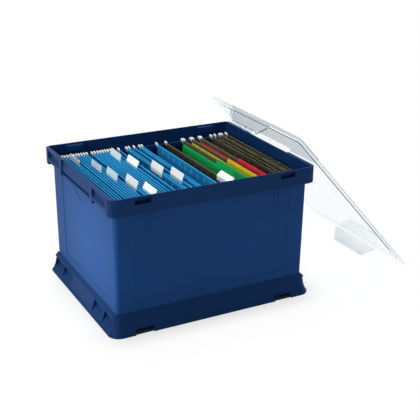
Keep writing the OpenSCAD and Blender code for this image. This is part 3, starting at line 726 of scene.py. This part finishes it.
def distance_outside(tree, box, radius):
    """How far a point of the floor lies outside a box's footprint with rounded corners, less
    than nothing within it: the length of what passes the inner box, less the radius."""
    axes = object_axes(tree)
    low, high = box
    squares = []
    for axis in (0, 1):
        centred = math_node(tree, "SUBTRACT", axes[axis], (low[axis] + high[axis]) / 2)
        inner = (high[axis] - low[axis]) / 2 - radius
        beyond = math_node(tree, "SUBTRACT", math_node(tree, "ABSOLUTE", centred), inner)
        beyond = math_node(tree, "MAXIMUM", beyond, 0.0)
        squares.append(math_node(tree, "MULTIPLY", beyond, beyond))
    reach = math_node(tree, "SQRT", math_node(tree, "ADD", *squares))
    return math_node(tree, "SUBTRACT", reach, radius)


def floor_material(name, colour, box):
    """A pale floor: diffuse for the light, and plain white where the camera, a reflection or clear
    plastic sees it. The white fades out towards the box, so that its shadow shows, and the floor
    under the box has painted shade: its colour is darkened there."""
    material = bpy.data.materials.new(name)
    material.use_nodes = True
    tree = material.node_tree
    shader = tree.nodes["Principled BSDF"]
    shader.inputs["Roughness"].default_value = 0.9
    shader.inputs["Specular IOR Level"].default_value = 0.1
    away = distance_outside(tree, box, FOOT_CORNER)
    outside = math_node(tree, "GREATER_THAN", away, FOOT_EDGE)
    # Painted shade: the floor under the tub takes its colour darkened by this share
    shade = [channel * FOOT_SHADE for channel in colour[:3]] + [1.0]
    tree.links.new(mix_colour(tree, outside, shade, colour), shader.inputs["Base Color"])
    near = range_node(tree, away, 0.0, SHADOW_REACH, *SHADOW_WHITE)
    far = range_node(tree, away, *FAR_REACH, 0.0, 1 - SHADOW_WHITE[1])
    share = math_node(tree, "ADD", math_node(tree, "MULTIPLY", near, outside), far)
    white = tree.nodes.new("ShaderNodeEmission")
    mix = tree.nodes.new("ShaderNodeMixShader")
    tree.links.new(math_node(tree, "MULTIPLY", seen_ray(tree), share), mix.inputs["Fac"])
    tree.links.new(shader.outputs["BSDF"], mix.inputs[1])
    tree.links.new(white.outputs["Emission"], mix.inputs[2])
    tree.links.new(mix.outputs["Shader"], tree.nodes["Material Output"].inputs["Surface"])
    return material


def seen_ray(tree):
    """1 for a camera, glossy or transmission ray and 0 for the rest."""
    ray = tree.nodes.new("ShaderNodeLightPath")
    seen = math_node(tree, "MAXIMUM", ray.outputs["Is Camera Ray"], ray.outputs["Is Glossy Ray"])
    return math_node(tree, "MAXIMUM", seen, ray.outputs["Is Transmission Ray"])


def add_lamp(name, stand, target, size, beam, power):
    """A square area lamp that stands at a place and looks at a target; beam is an angle."""
    lamp = bpy.data.lights.new(name, "AREA")
    lamp.size = size
    lamp.energy = power
    lamp.spread = beam
    holder = bpy.data.objects.new(name, lamp)
    holder.location = stand
    ahead = Vector(target) - Vector(stand)
    holder.rotation_euler = ahead.to_track_quat("-Z", "Y").to_euler()
    bpy.context.scene.collection.objects.link(holder)


def add_camera(settings):
    """The camera: its view direction comes from the azimuth and the elevation, and the roll
    turns its right side upwards."""
    turn, drop = settings.azimuth, settings.elevation
    level_share = math.cos(drop)
    ahead = Vector((math.sin(turn) * level_share, math.cos(turn) * level_share, -math.sin(drop)))
    level = ahead.cross(Vector((0, 0, 1))).normalized()
    upright = level.cross(ahead)
    right = level * math.cos(settings.roll) + upright * math.sin(settings.roll)
    up = right.cross(ahead)
    camera = bpy.data.cameras.new("camera")
    camera.lens = settings.lens
    camera.sensor_width = SENSOR
    camera.clip_end = 50
    holder = bpy.data.objects.new("camera", camera)
    axes = Matrix((right, up, -ahead)).transposed().to_4x4()
    axes.translation = Vector(settings.place)
    holder.matrix_world = axes
    bpy.context.scene.collection.objects.link(holder)
    bpy.context.scene.camera = holder


def add_floor(settings):
    """A square floor with painted shade under the tub's footprint, around which the tub's shadow
    shows.
    """
    half = settings.floor_size / 2
    corners = np.array([[-half, -half, 0], [half, -half, 0], [half, half, 0], [-half, half, 0]])
    floor = mesh_piece("floor", corners, np.array([[0, 1, 2, 3]]))
    floor.data.materials.append(
        floor_material("Pale floor", settings.floor_colour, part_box("tub")))


def white_room(strength):
    """A room that lights at the given strength and looks plain white."""
    world = bpy.data.worlds.new("room")
    world.use_nodes = True
    tree = world.node_tree
    room = tree.nodes["Background"]
    room.inputs["Color"].default_value = (1, 1, 1, 1)
    room.inputs["Strength"].default_value = strength
    shown = tree.nodes.new("ShaderNodeBackground")
    shown.inputs["Color"].default_value = (1, 1, 1, 1)
    mix = tree.nodes.new("ShaderNodeMixShader")
    tree.links.new(seen_ray(tree), mix.inputs["Fac"])
    tree.links.new(room.outputs["Background"], mix.inputs[1])
    tree.links.new(shown.outputs["Background"], mix.inputs[2])
    tree.links.new(mix.outputs["Shader"], tree.nodes["World Output"].inputs["Surface"])
    return world


# ---- Operators ----

class FILEBOX_OT_tub(bpy.types.Operator):
    """Dress the moulded tub with eased edges and grained navy plastic"""
    bl_idname = "filebox.tub"
    bl_label = "Tub"

    def execute(self, context):
        settings = context.scene.file_box.tub
        tub = eased_copy("tub", "tub_shell", settings.edge)
        place(tub, "tub", "tub_plastic", [tub_material(settings)], "tub")
        return {"FINISHED"}


class FILEBOX_OT_lid(bpy.types.Operator):
    """Dress the clear lid and its two latch flaps"""
    bl_idname = "filebox.lid"
    bl_label = "Lid and latch flaps"

    def execute(self, context):
        settings = context.scene.file_box.lid
        clear = clear_material(settings)
        frosted = frosted_material(settings)
        for node, slot, material in (
                ("lid", "clear_plastic", clear),
                ("upper_latch_flap", "clear_plastic", clear),
                ("lower_latch_flap", "latch_plastic", frosted)):
            piece = eased_copy(node, node + "_moulding", settings.edge)
            place(piece, node, slot, [material], node)
        return {"FINISHED"}


class FILEBOX_OT_hanging_folders(bpy.types.Operator):
    """Make the card of every hanging file, hemmed over its rods"""
    bl_idname = "filebox.hanging_folders"
    bl_label = "Hanging folders"

    def execute(self, context):
        settings = context.scene.file_box.files
        for colour in ("blue", "olive"):
            materials = card_materials(colour, settings)
            cards = [node for node in frame["nodes"] if node.startswith(colour + "_folder_")]
            for seed, node in enumerate(sorted(n for n in cards if "rods" not in n)):
                piece = folder_card(node + "_card", node, seed, settings)
                place(piece, node.replace("folder", "file"), CARD_SLOTS[colour], materials, node)
        return {"FINISHED"}


class FILEBOX_OT_rods(bpy.types.Operator):
    """Round the edges of every rod and its end hooks"""
    bl_idname = "filebox.rods"
    bl_label = "Rods"

    def execute(self, context):
        settings = context.scene.file_box.files
        material = white_material("White rod plastic", settings.white, 0.35, 0.45)
        for node in sorted(n for n in frame["nodes"] if "_rods_" in n):
            piece = eased_copy(node, node + "_hooks", ROD_EDGE)
            place(piece, node.replace("folder_rods", "file"), "rod_plastic", [material], node)
        return {"FINISHED"}


class FILEBOX_OT_inner_folders(bpy.types.Operator):
    """Make the green, yellow and red folders that stand inside the first olive files"""
    bl_idname = "filebox.inner_folders"
    bl_label = "Inner folders"

    def execute(self, context):
        settings = context.scene.file_box.files
        for colour, share in TAB_SHARES:
            node = colour + "_inner_folder"
            piece = inner_folder(node + "_card", node, share, settings)
            place(piece, node, CARD_SLOTS[colour], card_materials(colour, settings), node)
        return {"FINISHED"}


class FILEBOX_OT_label_tabs(bpy.types.Operator):
    """Make the white label tabs, whose labels are blank"""
    bl_idname = "filebox.label_tabs"
    bl_label = "Label tabs"

    def execute(self, context):
        settings = context.scene.file_box.files
        material = white_material("White tab plastic", settings.label, 0.2, 0.3)
        bodies = frame["record"]["behaviour"]["bodies"]
        for body, nodes in sorted(bodies.items()):
            for node in (n for n in nodes if n.startswith("label_tab_")):
                lean = math.radians(TAB_LEANS[int(node[-2:]) - 1])
                piece = label_tab(node, lean, settings)
                place(piece, body, "tab_plastic", [material, material], node)
        return {"FINISHED"}


class FILEBOX_OT_stage(bpy.types.Operator):
    """Set the camera, the lamps, the room's light and the pale floor"""
    bl_idname = "filebox.stage"
    bl_label = "Stage"

    def execute(self, context):
        settings = context.scene.file_box.stage
        add_floor(settings)
        for name, stand, target, size, beam in LAMPS:
            add_lamp(name, stand, target, size, beam, getattr(settings, name + "_power"))
        context.scene.world = white_room(settings.ambient)
        context.scene.view_settings.view_transform = "Standard"
        add_camera(settings)
        return {"FINISHED"}


class FILEBOX_PT_panel(bpy.types.Panel):
    """Lists the steps that dress the file box"""
    bl_label = "File Box"
    bl_idname = "FILEBOX_PT_panel"
    bl_space_type = "VIEW_3D"
    bl_region_type = "UI"
    bl_category = "File Box"

    def draw(self, context):
        for operator in OPERATORS:
            self.layout.operator(operator.bl_idname)
        settings = context.scene.file_box
        for group in (settings.tub, settings.lid, settings.files, settings.stage):
            column = self.layout.column()
            for label in group.__annotations__:
                column.prop(group, label)


OPERATORS = (
    FILEBOX_OT_stage, FILEBOX_OT_tub, FILEBOX_OT_lid, FILEBOX_OT_hanging_folders,
    FILEBOX_OT_rods, FILEBOX_OT_inner_folders, FILEBOX_OT_label_tabs)
CLASSES = (
    TubSettings, LidSettings, FileSettings, StageSettings, FileBoxSettings, *OPERATORS,
    FILEBOX_PT_panel)


def register():
    for entry in CLASSES:
        bpy.utils.register_class(entry)
    bpy.types.Scene.file_box = PointerProperty(type=FileBoxSettings)


def unregister():
    del bpy.types.Scene.file_box
    for entry in reversed(CLASSES):
        bpy.utils.unregister_class(entry)


def main():
    """Runs every step."""
    register()
    bpy.ops.filebox.stage()
    bpy.ops.filebox.tub()
    bpy.ops.filebox.lid()
    bpy.ops.filebox.hanging_folders()
    bpy.ops.filebox.rods()
    bpy.ops.filebox.inner_folders()
    bpy.ops.filebox.label_tabs()


if __name__ == "__main__":
    main()
